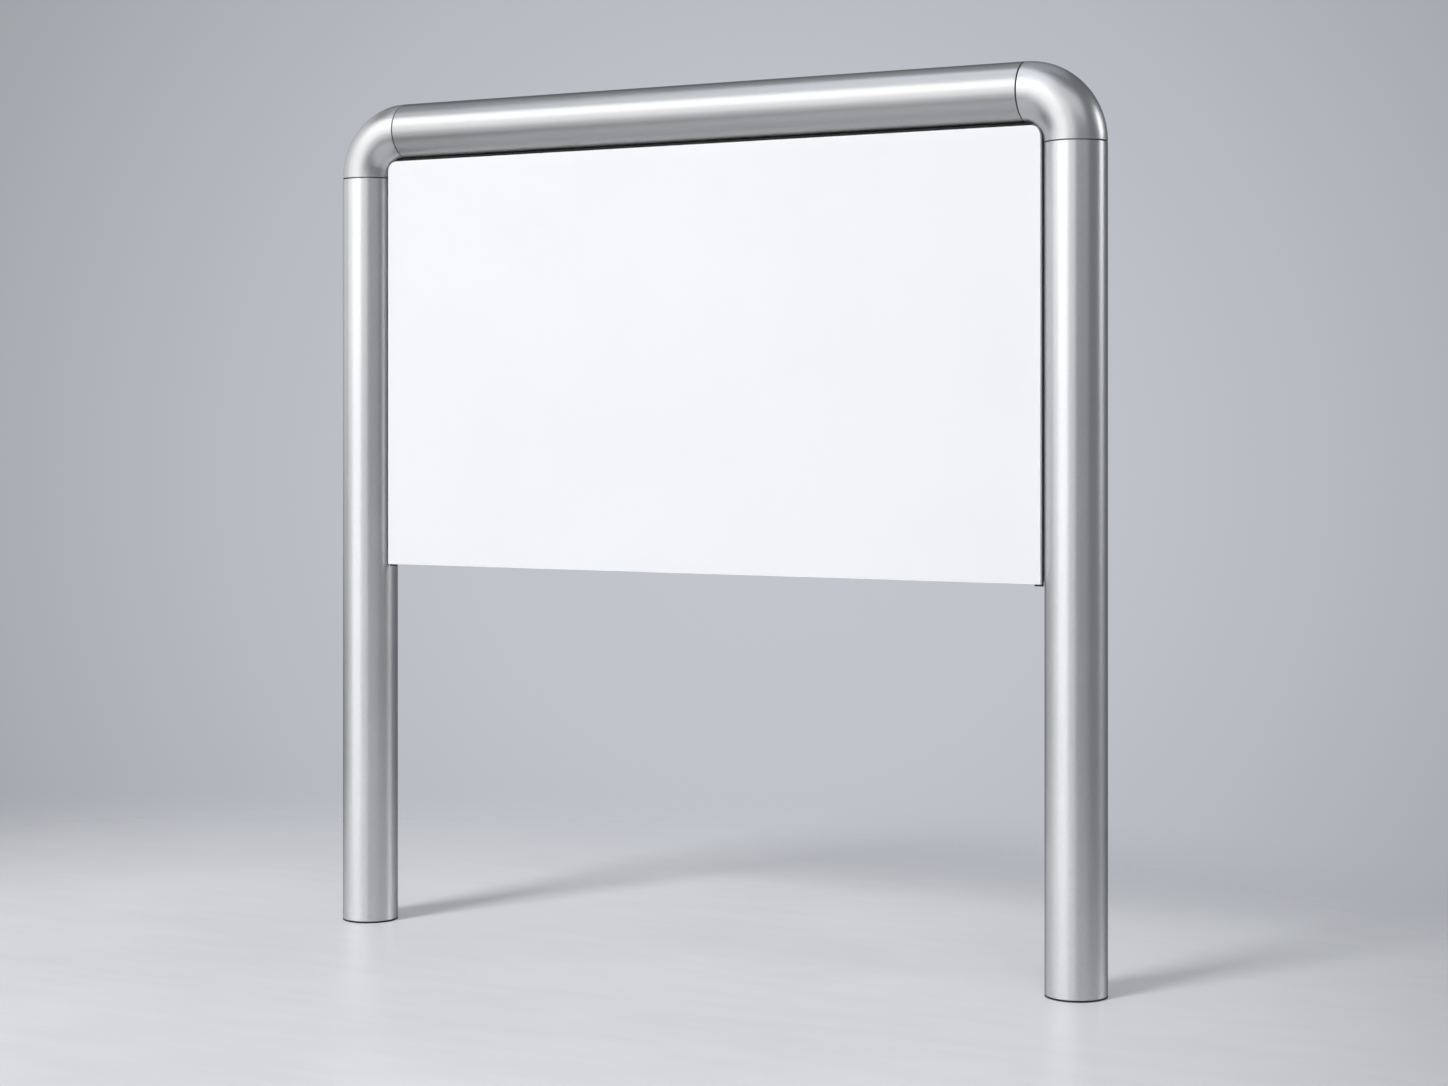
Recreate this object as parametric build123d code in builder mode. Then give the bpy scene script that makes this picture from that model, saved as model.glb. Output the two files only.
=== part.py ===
from build123d import *
import os
from math import cos, radians, sin, sqrt

# A free-standing sign frame: two round posts, two cast elbows and a cross tube carry a white face
# panel, which snaps forward off its clips. Millimetres, +Z up, the front faces -Y. The origin is on
# the floor, midway between the posts and in the plane of the tubes' axes.

# Frame layout
post_spacing = 1050.0
cross_tube_height = 1094.0
tube_diameter = 76.0
tube_wall = 3.0
bend_radius = 63.0

# Elbow castings and their joints
joint_gap = 1.0
edge_break = 0.4
elbow_wall = 8.0
spigot_length = 45.0
spigot_clearance = 0.1
spigot_lead = 1.5
elbow_screw_inset = 12.0
elbow_screw_pitch = 22.0

# Face panel
panel_bottom = 496.0
panel_side_gap = 2.5
panel_top_gap = 3.5
panel_corner = 13.5
panel_thickness = 6.0
panel_forward = 14.5
panel_edge_round = 0.6

# Gaskets between the panel and its rails
gasket_thickness = 2.0
gasket_width = 11.0
gasket_side_lip = 1.2
gasket_top_lip = 3.7
gasket_corner = 24.0
gasket_tail = 2.5
gasket_butt_gap = 0.4

# Rails
rail_thickness = 3.0
rail_flange = 34.0
saddle_depth = 22.5
saddle_clearance = 0.2
rail_rise = 3.0
rail_end_gap = 0.5
channel_depth = 15.0
channel_height = 34.0

# Plates that join the rails
plate_thickness = 3.0
plate_side_gap = 0.5
plate_tongue = 34.0
joint_screw_inset = 9.0
joint_screw_pitch = 15.0

# Screws from the rails into the tubes
rail_screw_angle = 12.0
rail_screw_margin = 40.0
spigot_to_screw = 20.0
side_screw_count = 3
top_screw_count = 4

# Snap clips
clip_inset = 23.0
clip_row_margin = 96.0
side_clip_count = 2
row_clip_count = 4

# Clip socket and its spring ring
socket_flange_radius = 10.0
socket_panel_gap = 0.4
socket_radius = 8.0
socket_length = 18.0
socket_end_wall = 2.0
socket_lip = 0.6
socket_lip_height = 1.2
ring_wire = 1.4
ring_play = 0.3
ring_gap_angle = 60.0
ring_groove_room = 1.2
ring_groove_play = 0.3

# Snap stud
stud_neck_radius = 3.5
stud_neck_length = 7.0
stud_head_radius = 5.0
stud_head_length = 5.0
stud_head_chamfer = 1.5
stud_play = 0.3
stud_thread_radius = 2.5
stud_thread_length = 4.0

# Screws and rivet nuts
fit_clearance = 0.05
screw_radius = 2.5
screw_head_radius = 4.6
screw_head_rim = 0.2
screw_sink = 0.35
elbow_screw_length = 8.0
small_screw_radius = 2.0
small_head_radius = 3.75
button_head_radius = 4.75
button_head_height = 2.75
button_head_round = 1.2
button_screw_length = 14.0
key_socket_radius = 1.75
key_socket_depth = 1.5
rivet_body_radius = 3.5
rivet_body_length = 12.0
rivet_rim_radius = 4.5
rivet_rim_height = 0.8
rivet_collar_radius = 5.0
rivet_collar_length = 2.5

# Foot plugs and their threaded inserts
foot_rim = 2.0
foot_base = 5.0
foot_depth = 38.0
foot_core_step = 3.5
foot_core_wall = 3.0
foot_fin_count = 4
foot_fin_thickness = 1.6
foot_boss_radius = 12.0
foot_boss_top = 27.0
foot_rib_count = 6
foot_rib_thickness = 2.5
foot_bolt_radius = 6.5
insert_radius = 8.0
insert_length = 20.0
insert_bore_radius = 5.1
insert_groove_depth = 0.5
insert_groove_width = 1.5

# Places worked out from the sizes above
tube_radius = tube_diameter / 2
bore_radius = tube_radius - tube_wall
post_x = post_spacing / 2
elbow_x = post_x - bend_radius
elbow_z = cross_tube_height - bend_radius
elbow_bore = tube_radius - elbow_wall
spigot_radius = bore_radius - spigot_clearance

panel_back = panel_thickness - panel_forward
panel_half = post_x - tube_radius - panel_side_gap
panel_top = cross_tube_height - tube_radius - panel_top_gap

rail_front = panel_back + gasket_thickness
rail_back = rail_front + rail_thickness
rail_bottom = panel_bottom + rail_rise
rail_reach = tube_radius + rail_flange
saddle_radius = tube_radius + saddle_clearance
corner_reach = max(rail_reach, bend_radius + rail_thickness)
side_rail_top = cross_tube_height - corner_reach - rail_end_gap
top_rail_half = post_x - corner_reach - rail_end_gap
channel_half = post_x - rail_reach - rail_end_gap

# The plates that join the rails lie behind the flanges, clear of the saddles
plate_outer = saddle_radius + rail_thickness + plate_side_gap
plate_inner = rail_reach - plate_side_gap
plate_line = (plate_outer + plate_inner) / 2

# Screws from the rails stay clear of the spigots inside the tubes
side_screws_from = rail_bottom + rail_screw_margin
side_screws_to = elbow_z - spigot_length - spigot_to_screw
top_screws_to = elbow_x - spigot_length - spigot_to_screw

# The clips stand in rows at one distance from the tubes, and as far from the lower edge
clip_low = panel_bottom + clip_inset - panel_top_gap
clip_high = cross_tube_height - tube_radius - clip_inset
clip_side = post_x - tube_radius - clip_inset
clip_row_half = panel_half - clip_row_margin

screw_hole = screw_radius + fit_clearance
small_screw_hole = small_screw_radius + fit_clearance
head_drop = screw_sink + screw_head_rim
foot_core_radius = bore_radius - foot_core_step
stud_length = stud_neck_length + stud_head_length
ring_radius = stud_neck_radius + ring_play + ring_wire / 2
ring_depth = stud_neck_length - ring_wire


def spread(first, last, count):
    """Evenly spaced places from first to last."""
    step = (last - first) / (count - 1)
    return [first + step * index for index in range(count)]


def between(first, last, count):
    """Evenly spaced places inside the span from first to last, none at its ends."""
    step = (last - first) / (count + 1)
    return [first + step * (index + 1) for index in range(count)]


def face_plane(depth):
    """A plane that faces the front at the given y, with local x to the right and local y up."""
    return Plane(origin=(0, depth, 0), x_dir=(1, 0, 0), z_dir=(0, -1, 0))


def front_place(x, z):
    """A place on the rails' front face, its local z towards the front."""
    return Plane(origin=(x, rail_front, z), x_dir=(1, 0, 0), z_dir=(0, -1, 0))


def clip_place(x, z):
    """A clip's place on the panel's back, its local z towards the rear."""
    return Plane(origin=(x, panel_back, z), x_dir=(1, 0, 0), z_dir=(0, 1, 0))


def rear_place(x, z):
    """A place on the rearmost line of a tube, its local z towards the rear."""
    return Plane(origin=(x, tube_radius, z), x_dir=(1, 0, 0), z_dir=(0, 1, 0))


def post_place(z, radius):
    """A place on the left post's inner side, turned a little to the rear, local z outwards."""
    turn = radians(rail_screw_angle)
    outward = (cos(turn), sin(turn), 0)
    origin = (radius * outward[0] - post_x, radius * outward[1], z)
    return Plane(origin=origin, x_dir=(0, 0, 1), z_dir=outward)


def cross_place(x, radius):
    """A place under the cross tube, turned a little to the rear, its local z outwards."""
    turn = radians(rail_screw_angle)
    outward = (0, sin(turn), -cos(turn))
    origin = (x, radius * outward[1], cross_tube_height + radius * outward[2])
    return Plane(origin=origin, x_dir=(1, 0, 0), z_dir=outward)


side_screw_heights = spread(side_screws_from, side_screws_to, side_screw_count)
top_screw_places = spread(-top_screws_to, top_screws_to, top_screw_count)
clip_columns = spread(-clip_row_half, clip_row_half, row_clip_count)
side_clip_heights = between(clip_low, clip_high, side_clip_count)

post_screw_heights = [elbow_z - elbow_screw_inset - elbow_screw_pitch * index for index in range(2)]
tube_screw_places = [elbow_x - elbow_screw_inset - elbow_screw_pitch * index for index in range(2)]
left_elbow_screw_places = [rear_place(-post_x, z) for z in post_screw_heights]
left_elbow_screw_places += [rear_place(-x, cross_tube_height) for x in tube_screw_places]

bracket_heights = [side_rail_top - joint_screw_inset - joint_screw_pitch * index for index in range(2)]
bracket_columns = [top_rail_half - joint_screw_inset - joint_screw_pitch * index for index in range(2)]
plate_column = channel_half - joint_screw_inset - joint_screw_pitch / 2
plate_middle = rail_bottom + channel_height / 2
plate_heights = [plate_middle - joint_screw_pitch / 2, plate_middle + joint_screw_pitch / 2]

left_rail_joints = [front_place(plate_line - post_x, z) for z in bracket_heights + plate_heights]
top_rail_joints = [front_place(-x, cross_tube_height - plate_line) for x in bracket_columns]
channel_joints = [front_place(-plate_column, z) for z in plate_heights]
left_bracket_joints = left_rail_joints[:2] + top_rail_joints
left_plate_joints = left_rail_joints[2:] + channel_joints

clip_places = [clip_place(x, z) for z in (clip_low, clip_high) for x in clip_columns]
clip_places += [clip_place(x, z) for z in side_clip_heights for x in (-clip_side, clip_side)]

# Tubes: plain round lengths with broken edges, drilled for their screws
rivet_bore = rivet_body_radius + fit_clearance
rivet_seat = rivet_rim_radius + fit_clearance
rivet_seat_depth = tube_radius - sqrt(tube_radius**2 - rivet_seat**2) + rivet_rim_height

with BuildPart() as left_post:
    with BuildSketch(Plane.XY.offset(foot_rim)):
        with Locations((-post_x, 0)):
            Circle(tube_radius)
            Circle(bore_radius, mode=Mode.SUBTRACT)
    extrude(amount=elbow_z - joint_gap - foot_rim)
    rims = left_post.edges().filter_by(GeomType.CIRCLE)
    chamfer(rims.filter_by(lambda edge: edge.radius > bore_radius + tube_wall / 2), edge_break)
    with Locations(*[rear_place(-post_x, z).offset(-head_drop) for z in post_screw_heights]):
        CounterSinkHole(screw_hole, screw_head_radius + fit_clearance, 2 * tube_wall, 90)
    with Locations(*[post_place(z, tube_radius) for z in side_screw_heights]):
        CounterBoreHole(rivet_bore, rivet_seat, rivet_seat_depth, 2 * tube_wall)

with BuildPart() as right_post:
    mirror(left_post.part, about=Plane.YZ)

with BuildPart() as cross_tube:
    with BuildSketch(Plane.YZ.offset(joint_gap - elbow_x)):
        with Locations((0, cross_tube_height)):
            Circle(tube_radius)
            Circle(bore_radius, mode=Mode.SUBTRACT)
    extrude(amount=2 * (elbow_x - joint_gap))
    rims = cross_tube.edges().filter_by(GeomType.CIRCLE)
    chamfer(rims.filter_by(lambda edge: edge.radius > bore_radius + tube_wall / 2), edge_break)
    for side in (-1, 1):
        places = [rear_place(side * x, cross_tube_height) for x in tube_screw_places]
        with Locations(*[place.offset(-head_drop) for place in places]):
            CounterSinkHole(screw_hole, screw_head_radius + fit_clearance, 2 * tube_wall, 90)
    with Locations(*[cross_place(x, tube_radius) for x in top_screw_places]):
        CounterBoreHole(rivet_bore, rivet_seat, rivet_seat_depth, 2 * tube_wall)

# Elbows: a hollow quarter bend with a turned-down spigot at each end
with BuildPart() as left_elbow:
    with BuildSketch(Plane.XY.offset(elbow_z)):
        with Locations((-post_x, 0)):
            Circle(tube_radius)
            Circle(elbow_bore, mode=Mode.SUBTRACT)
    revolve(axis=Axis((-elbow_x, 0, elbow_z), (0, 1, 0)), revolution_arc=90)
    rims = left_elbow.edges().filter_by(GeomType.CIRCLE)
    rims = rims.filter_by(lambda edge: abs(edge.radius - tube_radius) < edge_break)
    rims = rims.filter_by(lambda edge: abs(edge.arc_center.Y) < edge_break)
    lower_rim = rims.sort_by(Axis.Z)[0]
    upper_rim = rims.sort_by(Axis.X)[-1]
    chamfer([lower_rim, upper_rim], edge_break)
    with BuildSketch(Plane.XY.offset(elbow_z)):
        with Locations((-post_x, 0)):
            Circle(spigot_radius)
            Circle(elbow_bore, mode=Mode.SUBTRACT)
    extrude(amount=-spigot_length)
    with BuildSketch(Plane.YZ.offset(-elbow_x)):
        with Locations((0, cross_tube_height)):
            Circle(spigot_radius)
            Circle(elbow_bore, mode=Mode.SUBTRACT)
    extrude(amount=spigot_length)
    tips = left_elbow.edges().filter_by(GeomType.CIRCLE)
    tips = tips.filter_by(lambda edge: abs(edge.radius - spigot_radius) < fit_clearance)
    chamfer([tips.sort_by(Axis.Z)[0], tips.sort_by(Axis.X)[-1]], spigot_lead)
    with Locations(*left_elbow_screw_places):
        Hole(screw_hole, depth=tube_radius - elbow_bore + tube_wall)

with BuildPart() as right_elbow:
    mirror(left_elbow.part, about=Plane.YZ)

# Countersunk screws, sunk a little below the round surface
with BuildPart() as countersunk_screw:
    with BuildSketch(Plane.XZ) as countersunk_half:
        with BuildLine():
            Polyline(
                (0, -screw_sink),
                (screw_head_radius, -screw_sink),
                (screw_head_radius, -head_drop),
                (screw_radius, -head_drop - screw_head_radius + screw_radius),
                (screw_radius, -screw_sink - elbow_screw_length),
                (0, -screw_sink - elbow_screw_length),
                close=True,
            )
        make_face()
    revolve(axis=Axis.Z)
    with BuildSketch(Plane.XY.offset(-screw_sink)):
        RegularPolygon(key_socket_radius, 6)
    extrude(amount=-key_socket_depth, mode=Mode.SUBTRACT)

with BuildPart() as left_elbow_screws:
    with Locations(*left_elbow_screw_places):
        add(countersunk_screw.part)

with BuildPart() as right_elbow_screws:
    mirror(left_elbow_screws.part, about=Plane.YZ)

# Foot plugs: a rim under the post's end, a finned skirt inside it and a ribbed boss
with BuildPart() as left_foot_plug:
    with BuildSketch(Plane.XY):
        with Locations((-post_x, 0)):
            Circle(tube_radius)
    extrude(amount=foot_rim)
    chamfer(left_foot_plug.edges().group_by(Axis.Z)[0], edge_break)
    with BuildSketch(Plane.XY.offset(foot_rim)):
        with Locations((-post_x, 0)):
            Circle(foot_core_radius)
    extrude(amount=foot_depth - foot_rim)
    with BuildSketch(Plane.XY.offset(foot_base)):
        with Locations((-post_x, 0)):
            Circle(foot_core_radius - foot_core_wall)
            Circle(foot_boss_radius, mode=Mode.SUBTRACT)
            with PolarLocations(0, foot_rib_count):
                Rectangle(2 * foot_core_radius, foot_rib_thickness, mode=Mode.SUBTRACT)
    extrude(amount=foot_depth - foot_base, mode=Mode.SUBTRACT)
    with BuildSketch(Plane.XY.offset(foot_boss_top)):
        with Locations((-post_x, 0)):
            Circle(foot_core_radius - foot_core_wall)
    extrude(amount=foot_depth - foot_boss_top, mode=Mode.SUBTRACT)
    fin_room = foot_depth - foot_rim - foot_fin_thickness
    for index in range(foot_fin_count):
        fin_height = foot_rim + fin_room * (index + 1) / (foot_fin_count + 1)
        with BuildSketch(Plane.XY.offset(fin_height)):
            with Locations((-post_x, 0)):
                Circle(bore_radius - spigot_clearance)
                Circle(foot_core_radius - fit_clearance, mode=Mode.SUBTRACT)
        extrude(amount=foot_fin_thickness)
    with Locations((-post_x, 0, foot_base)):
        Cylinder(
            insert_radius + fit_clearance,
            foot_depth - foot_base,
            align=(Align.CENTER, Align.CENTER, Align.MIN),
            mode=Mode.SUBTRACT,
        )
    with Locations((-post_x, 0, foot_base)):
        Hole(foot_bolt_radius, depth=foot_base)

with BuildPart() as right_foot_plug:
    mirror(left_foot_plug.part, about=Plane.YZ)

# Threaded inserts: a bored bush with a groove round it that keys it into the boss
with BuildPart() as left_foot_insert:
    with Locations((-post_x, 0, foot_base)):
        Cylinder(insert_radius, insert_length, align=(Align.CENTER, Align.CENTER, Align.MIN))
    with BuildSketch(Plane.XY.offset(foot_base + (insert_length - insert_groove_width) / 2)):
        with Locations((-post_x, 0)):
            Circle(insert_radius)
            Circle(insert_radius - insert_groove_depth, mode=Mode.SUBTRACT)
    extrude(amount=insert_groove_width, mode=Mode.SUBTRACT)
    with Locations((-post_x, 0, foot_base + insert_length)):
        Hole(insert_bore_radius, depth=insert_length)

with BuildPart() as right_foot_insert:
    mirror(left_foot_insert.part, about=Plane.YZ)

# Rails: an extruded section with a flange behind the panel and a saddle that fits the tube. Its
# local x runs from the tube's axis inwards, and its local y to the rear.
with BuildSketch() as rail_section:
    Circle(saddle_radius + rail_thickness)
    with Locations((0, rail_front)):
        Rectangle(rail_reach, saddle_depth, align=(Align.MIN, Align.MIN), mode=Mode.INTERSECT)
        Rectangle(rail_reach, rail_thickness, align=(Align.MIN, Align.MIN))
    Circle(saddle_radius, mode=Mode.SUBTRACT)

clip_hole = socket_radius + fit_clearance

with BuildPart() as left_side_rail:
    with BuildSketch(Plane(origin=(-post_x, 0, rail_bottom), x_dir=(1, 0, 0), z_dir=(0, 0, 1))):
        add(rail_section.sketch)
    extrude(amount=side_rail_top - rail_bottom)
    with Locations(*[front_place(-clip_side, z) for z in side_clip_heights]):
        Hole(clip_hole, depth=2 * rail_thickness)
    with Locations(*left_rail_joints):
        CounterSinkHole(small_screw_hole, small_head_radius + fit_clearance, 2 * rail_thickness, 90)
    with Locations(*[post_place(z, saddle_radius + rail_thickness) for z in side_screw_heights]):
        Hole(screw_hole, depth=2 * rail_thickness)

with BuildPart() as right_side_rail:
    mirror(left_side_rail.part, about=Plane.YZ)

with BuildPart() as top_rail:
    top_rail_plane = Plane(
        origin=(-top_rail_half, 0, cross_tube_height), x_dir=(0, 0, -1), z_dir=(1, 0, 0)
    )
    with BuildSketch(top_rail_plane):
        add(rail_section.sketch)
    extrude(amount=2 * top_rail_half)
    with Locations(*[front_place(x, clip_high) for x in clip_columns]):
        Hole(clip_hole, depth=2 * rail_thickness)
    for side in (-1, 1):
        places = [front_place(side * x, cross_tube_height - plate_line) for x in bracket_columns]
        with Locations(*places):
            CounterSinkHole(
                small_screw_hole, small_head_radius + fit_clearance, 2 * rail_thickness, 90
            )
    with Locations(*[cross_place(x, saddle_radius + rail_thickness) for x in top_screw_places]):
        Hole(screw_hole, depth=2 * rail_thickness)

# Bottom rail: a channel, open to the rear, between the side rails
with BuildPart() as bottom_rail:
    with BuildSketch(Plane.YZ.offset(-channel_half)):
        with Locations((rail_front, rail_bottom)):
            Rectangle(channel_depth, channel_height, align=(Align.MIN, Align.MIN))
        with Locations((rail_back, rail_bottom + rail_thickness)):
            Rectangle(
                channel_depth,
                channel_height - 2 * rail_thickness,
                align=(Align.MIN, Align.MIN),
                mode=Mode.SUBTRACT,
            )
    extrude(amount=2 * channel_half)
    with Locations(*[front_place(x, clip_low) for x in clip_columns]):
        Hole(clip_hole, depth=2 * rail_thickness)
    for side in (-1, 1):
        with Locations(*[front_place(side * plate_column, z) for z in plate_heights]):
            CounterSinkHole(
                small_screw_hole, small_head_radius + fit_clearance, 2 * rail_thickness, 90
            )

# Corner brackets: a pad that carries the flanges round the rounded corner, on two tongues behind
with BuildPart() as top_left_corner_bracket:
    pad_side = corner_reach - saddle_radius
    with BuildSketch(face_plane(rail_front)) as pad:
        with Locations((saddle_radius - post_x, cross_tube_height - saddle_radius)):
            Rectangle(pad_side, pad_side, align=(Align.MIN, Align.MAX))
        fillet(pad.vertices().group_by(Axis.X)[0].sort_by(Axis.Y)[-1], bend_radius - saddle_radius)
    extrude(amount=-rail_thickness)
    with BuildSketch(face_plane(rail_back)) as tongues:
        tongue_side = corner_reach + plate_tongue - plate_outer
        with Locations((plate_outer - post_x, cross_tube_height - plate_outer)):
            Rectangle(tongue_side, tongue_side, align=(Align.MIN, Align.MAX))
        with Locations((plate_inner - post_x, cross_tube_height - plate_inner)):
            Rectangle(tongue_side, tongue_side, align=(Align.MIN, Align.MAX), mode=Mode.SUBTRACT)
        outer_corner = tongues.vertices().group_by(Axis.X)[0].sort_by(Axis.Y)[-1]
        fillet(outer_corner, bend_radius - saddle_radius)
    extrude(amount=-plate_thickness)
    with Locations(*left_bracket_joints):
        Hole(small_screw_hole, depth=rail_thickness + 2 * plate_thickness)

with BuildPart() as top_right_corner_bracket:
    mirror(top_left_corner_bracket.part, about=Plane.YZ)

# Joint plates: a flat plate behind a side rail's flange and inside the bottom rail
with BuildPart() as bottom_left_joint_plate:
    plate_length = rail_reach + plate_tongue - plate_outer
    plate_height = channel_height - 2 * rail_thickness - 2 * plate_side_gap
    with BuildSketch(face_plane(rail_back)):
        with Locations((plate_outer - post_x, plate_middle)):
            Rectangle(plate_length, plate_height, align=(Align.MIN, Align.CENTER))
    extrude(amount=-plate_thickness)
    with Locations(*left_plate_joints):
        Hole(small_screw_hole, depth=rail_thickness + 2 * plate_thickness)

with BuildPart() as bottom_right_joint_plate:
    mirror(bottom_left_joint_plate.part, about=Plane.YZ)

# Small countersunk screws, flush with the rails' front faces
with BuildPart() as small_screw:
    small_length = rail_thickness + plate_thickness
    with BuildSketch(Plane.XZ):
        with BuildLine():
            Polyline(
                (0, 0),
                (small_head_radius, 0),
                (small_screw_radius, small_screw_radius - small_head_radius),
                (small_screw_radius, -small_length),
                (0, -small_length),
                close=True,
            )
        make_face()
    revolve(axis=Axis.Z)
    with BuildSketch(Plane.XY):
        RegularPolygon(small_screw_radius / 2, 6)
    extrude(amount=-key_socket_depth, mode=Mode.SUBTRACT)

with BuildPart() as corner_screws:
    with Locations(*left_bracket_joints, *left_plate_joints):
        add(small_screw.part)
    mirror(about=Plane.YZ)

# Button-head screws through the saddles, and the rivet nuts that take them inside the tubes
with BuildPart() as button_screw:
    with BuildSketch(Plane.XZ):
        with BuildLine():
            Polyline(
                (0, button_head_height),
                (button_head_radius - button_head_round, button_head_height),
                (button_head_radius, button_head_height - button_head_round),
                (button_head_radius, 0),
                (screw_radius, 0),
                (screw_radius, -button_screw_length),
                (0, -button_screw_length),
                close=True,
            )
        make_face()
    revolve(axis=Axis.Z)
    with BuildSketch(Plane.XY.offset(button_head_height)):
        RegularPolygon(key_socket_radius, 6)
    extrude(amount=-key_socket_depth, mode=Mode.SUBTRACT)

with BuildPart() as rail_screws:
    with Locations(*[post_place(z, saddle_radius + rail_thickness) for z in side_screw_heights]):
        add(button_screw.part)
    mirror(about=Plane.YZ)
    with Locations(*[cross_place(x, saddle_radius + rail_thickness) for x in top_screw_places]):
        add(button_screw.part)

rivet_rim_top = rivet_rim_height - rivet_seat_depth
collar_top = sqrt(bore_radius**2 - rivet_collar_radius**2) - fit_clearance - tube_radius

with BuildPart() as rivet_nut:
    with BuildSketch(Plane.XZ):
        with BuildLine():
            Polyline(
                (screw_hole, rivet_rim_top),
                (rivet_rim_radius, rivet_rim_top),
                (rivet_rim_radius, rivet_rim_top - rivet_rim_height),
                (rivet_body_radius, rivet_rim_top - rivet_rim_height),
                (rivet_body_radius, collar_top),
                (rivet_collar_radius, collar_top),
                (rivet_collar_radius, collar_top - rivet_collar_length),
                (rivet_body_radius, collar_top - rivet_collar_length),
                (rivet_body_radius, rivet_rim_top - rivet_body_length),
                (screw_hole, rivet_rim_top - rivet_body_length),
                close=True,
            )
        make_face()
    revolve(axis=Axis.Z)

with BuildPart() as rail_rivet_nuts:
    with Locations(*[post_place(z, tube_radius) for z in side_screw_heights]):
        add(rivet_nut.part)
    mirror(about=Plane.YZ)
    with Locations(*[cross_place(x, tube_radius) for x in top_screw_places]):
        add(rivet_nut.part)

# Gaskets: one strip up the sides and round the top corners, and one along the bottom rail
gasket_half = panel_half + gasket_side_lip
gasket_top = panel_top + gasket_top_lip

with BuildPart() as edge_gasket:
    with BuildSketch(face_plane(rail_front)):
        for inset, mode in ((0, Mode.ADD), (gasket_width, Mode.SUBTRACT)):
            with BuildSketch(mode=mode) as outline:
                with Locations((0, gasket_top - inset)):
                    Rectangle(
                        2 * (gasket_half - inset),
                        gasket_top - inset - panel_bottom + gasket_tail,
                        align=(Align.CENTER, Align.MAX),
                    )
                fillet(outline.vertices().group_by(Axis.Y)[-1], gasket_corner - inset)
    extrude(amount=gasket_thickness)

with BuildPart() as bottom_gasket:
    strip_top = clip_low - socket_flange_radius - gasket_butt_gap
    with BuildSketch(face_plane(rail_front)):
        with Locations((0, rail_bottom)):
            Rectangle(
                2 * (gasket_half - gasket_width - gasket_butt_gap),
                strip_top - rail_bottom,
                align=(Align.CENTER, Align.MIN),
            )
    extrude(amount=gasket_thickness)

# Face panel: a flat sheet with rounded top corners, drilled from the back for the studs
with BuildPart() as face_panel:
    with BuildSketch(face_plane(panel_back)) as panel_outline:
        with Locations((0, panel_bottom)):
            Rectangle(
                2 * panel_half, panel_top - panel_bottom, align=(Align.CENTER, Align.MIN)
            )
        fillet(panel_outline.vertices().group_by(Axis.Y)[-1], panel_corner)
    extrude(amount=panel_thickness)
    fillet(face_panel.edges().group_by(Axis.Y)[0], panel_edge_round)
    with Locations(*clip_places):
        Hole(stud_thread_radius + fit_clearance, depth=stud_thread_length + fit_clearance)

# Snap studs: a thread in the panel, a neck and a bevelled head
with BuildPart() as snap_stud:
    with BuildSketch(Plane.XZ):
        with BuildLine():
            Polyline(
                (0, -stud_thread_length),
                (stud_thread_radius, -stud_thread_length),
                (stud_thread_radius, 0),
                (stud_neck_radius, 0),
                (stud_neck_radius, stud_neck_length),
                (stud_head_radius, stud_neck_length + stud_head_radius - stud_neck_radius),
                (stud_head_radius, stud_length - stud_head_chamfer),
                (stud_head_radius - stud_head_chamfer, stud_length),
                (0, stud_length),
                close=True,
            )
        make_face()
    revolve(axis=Axis.Z)

with BuildPart() as snap_studs:
    with Locations(*clip_places):
        add(snap_stud.part)

# Clip sockets: a flanged barrel through the rail, grooved inside for the spring ring
socket_bore = stud_head_radius + stud_play
socket_lip_front = gasket_thickness + rail_thickness + fit_clearance
groove_radius = ring_radius + ring_wire / 2 + ring_groove_room
groove_half = ring_wire / 2 + ring_groove_play

with BuildPart() as clip_socket:
    with BuildSketch(Plane.XZ):
        with BuildLine():
            Polyline(
                (socket_bore, socket_panel_gap),
                (socket_flange_radius, socket_panel_gap),
                (socket_flange_radius, gasket_thickness),
                (socket_radius, gasket_thickness),
                (socket_radius, socket_lip_front),
                (socket_radius + socket_lip, socket_lip_front),
                (socket_radius, socket_lip_front + socket_lip_height),
                (socket_radius, socket_length),
                (0, socket_length),
                (0, socket_length - socket_end_wall),
                (socket_bore, socket_length - socket_end_wall),
                close=True,
            )
        make_face()
    revolve(axis=Axis.Z)
    with BuildSketch(Plane.XY.offset(ring_depth - groove_half)):
        Circle(groove_radius)
    extrude(amount=2 * groove_half, mode=Mode.SUBTRACT)

with BuildPart() as clip_sockets:
    with Locations(*clip_places):
        add(clip_socket.part)

# Spring rings: split wire rings that close round the studs' necks
with BuildPart() as clip_spring:
    with BuildSketch(Plane.XZ):
        with Locations((ring_radius, ring_depth)):
            Circle(ring_wire / 2)
    revolve(axis=Axis.Z, revolution_arc=360 - ring_gap_angle)

with BuildPart() as clip_springs:
    with Locations(*clip_places):
        add(clip_spring.part)

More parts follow.
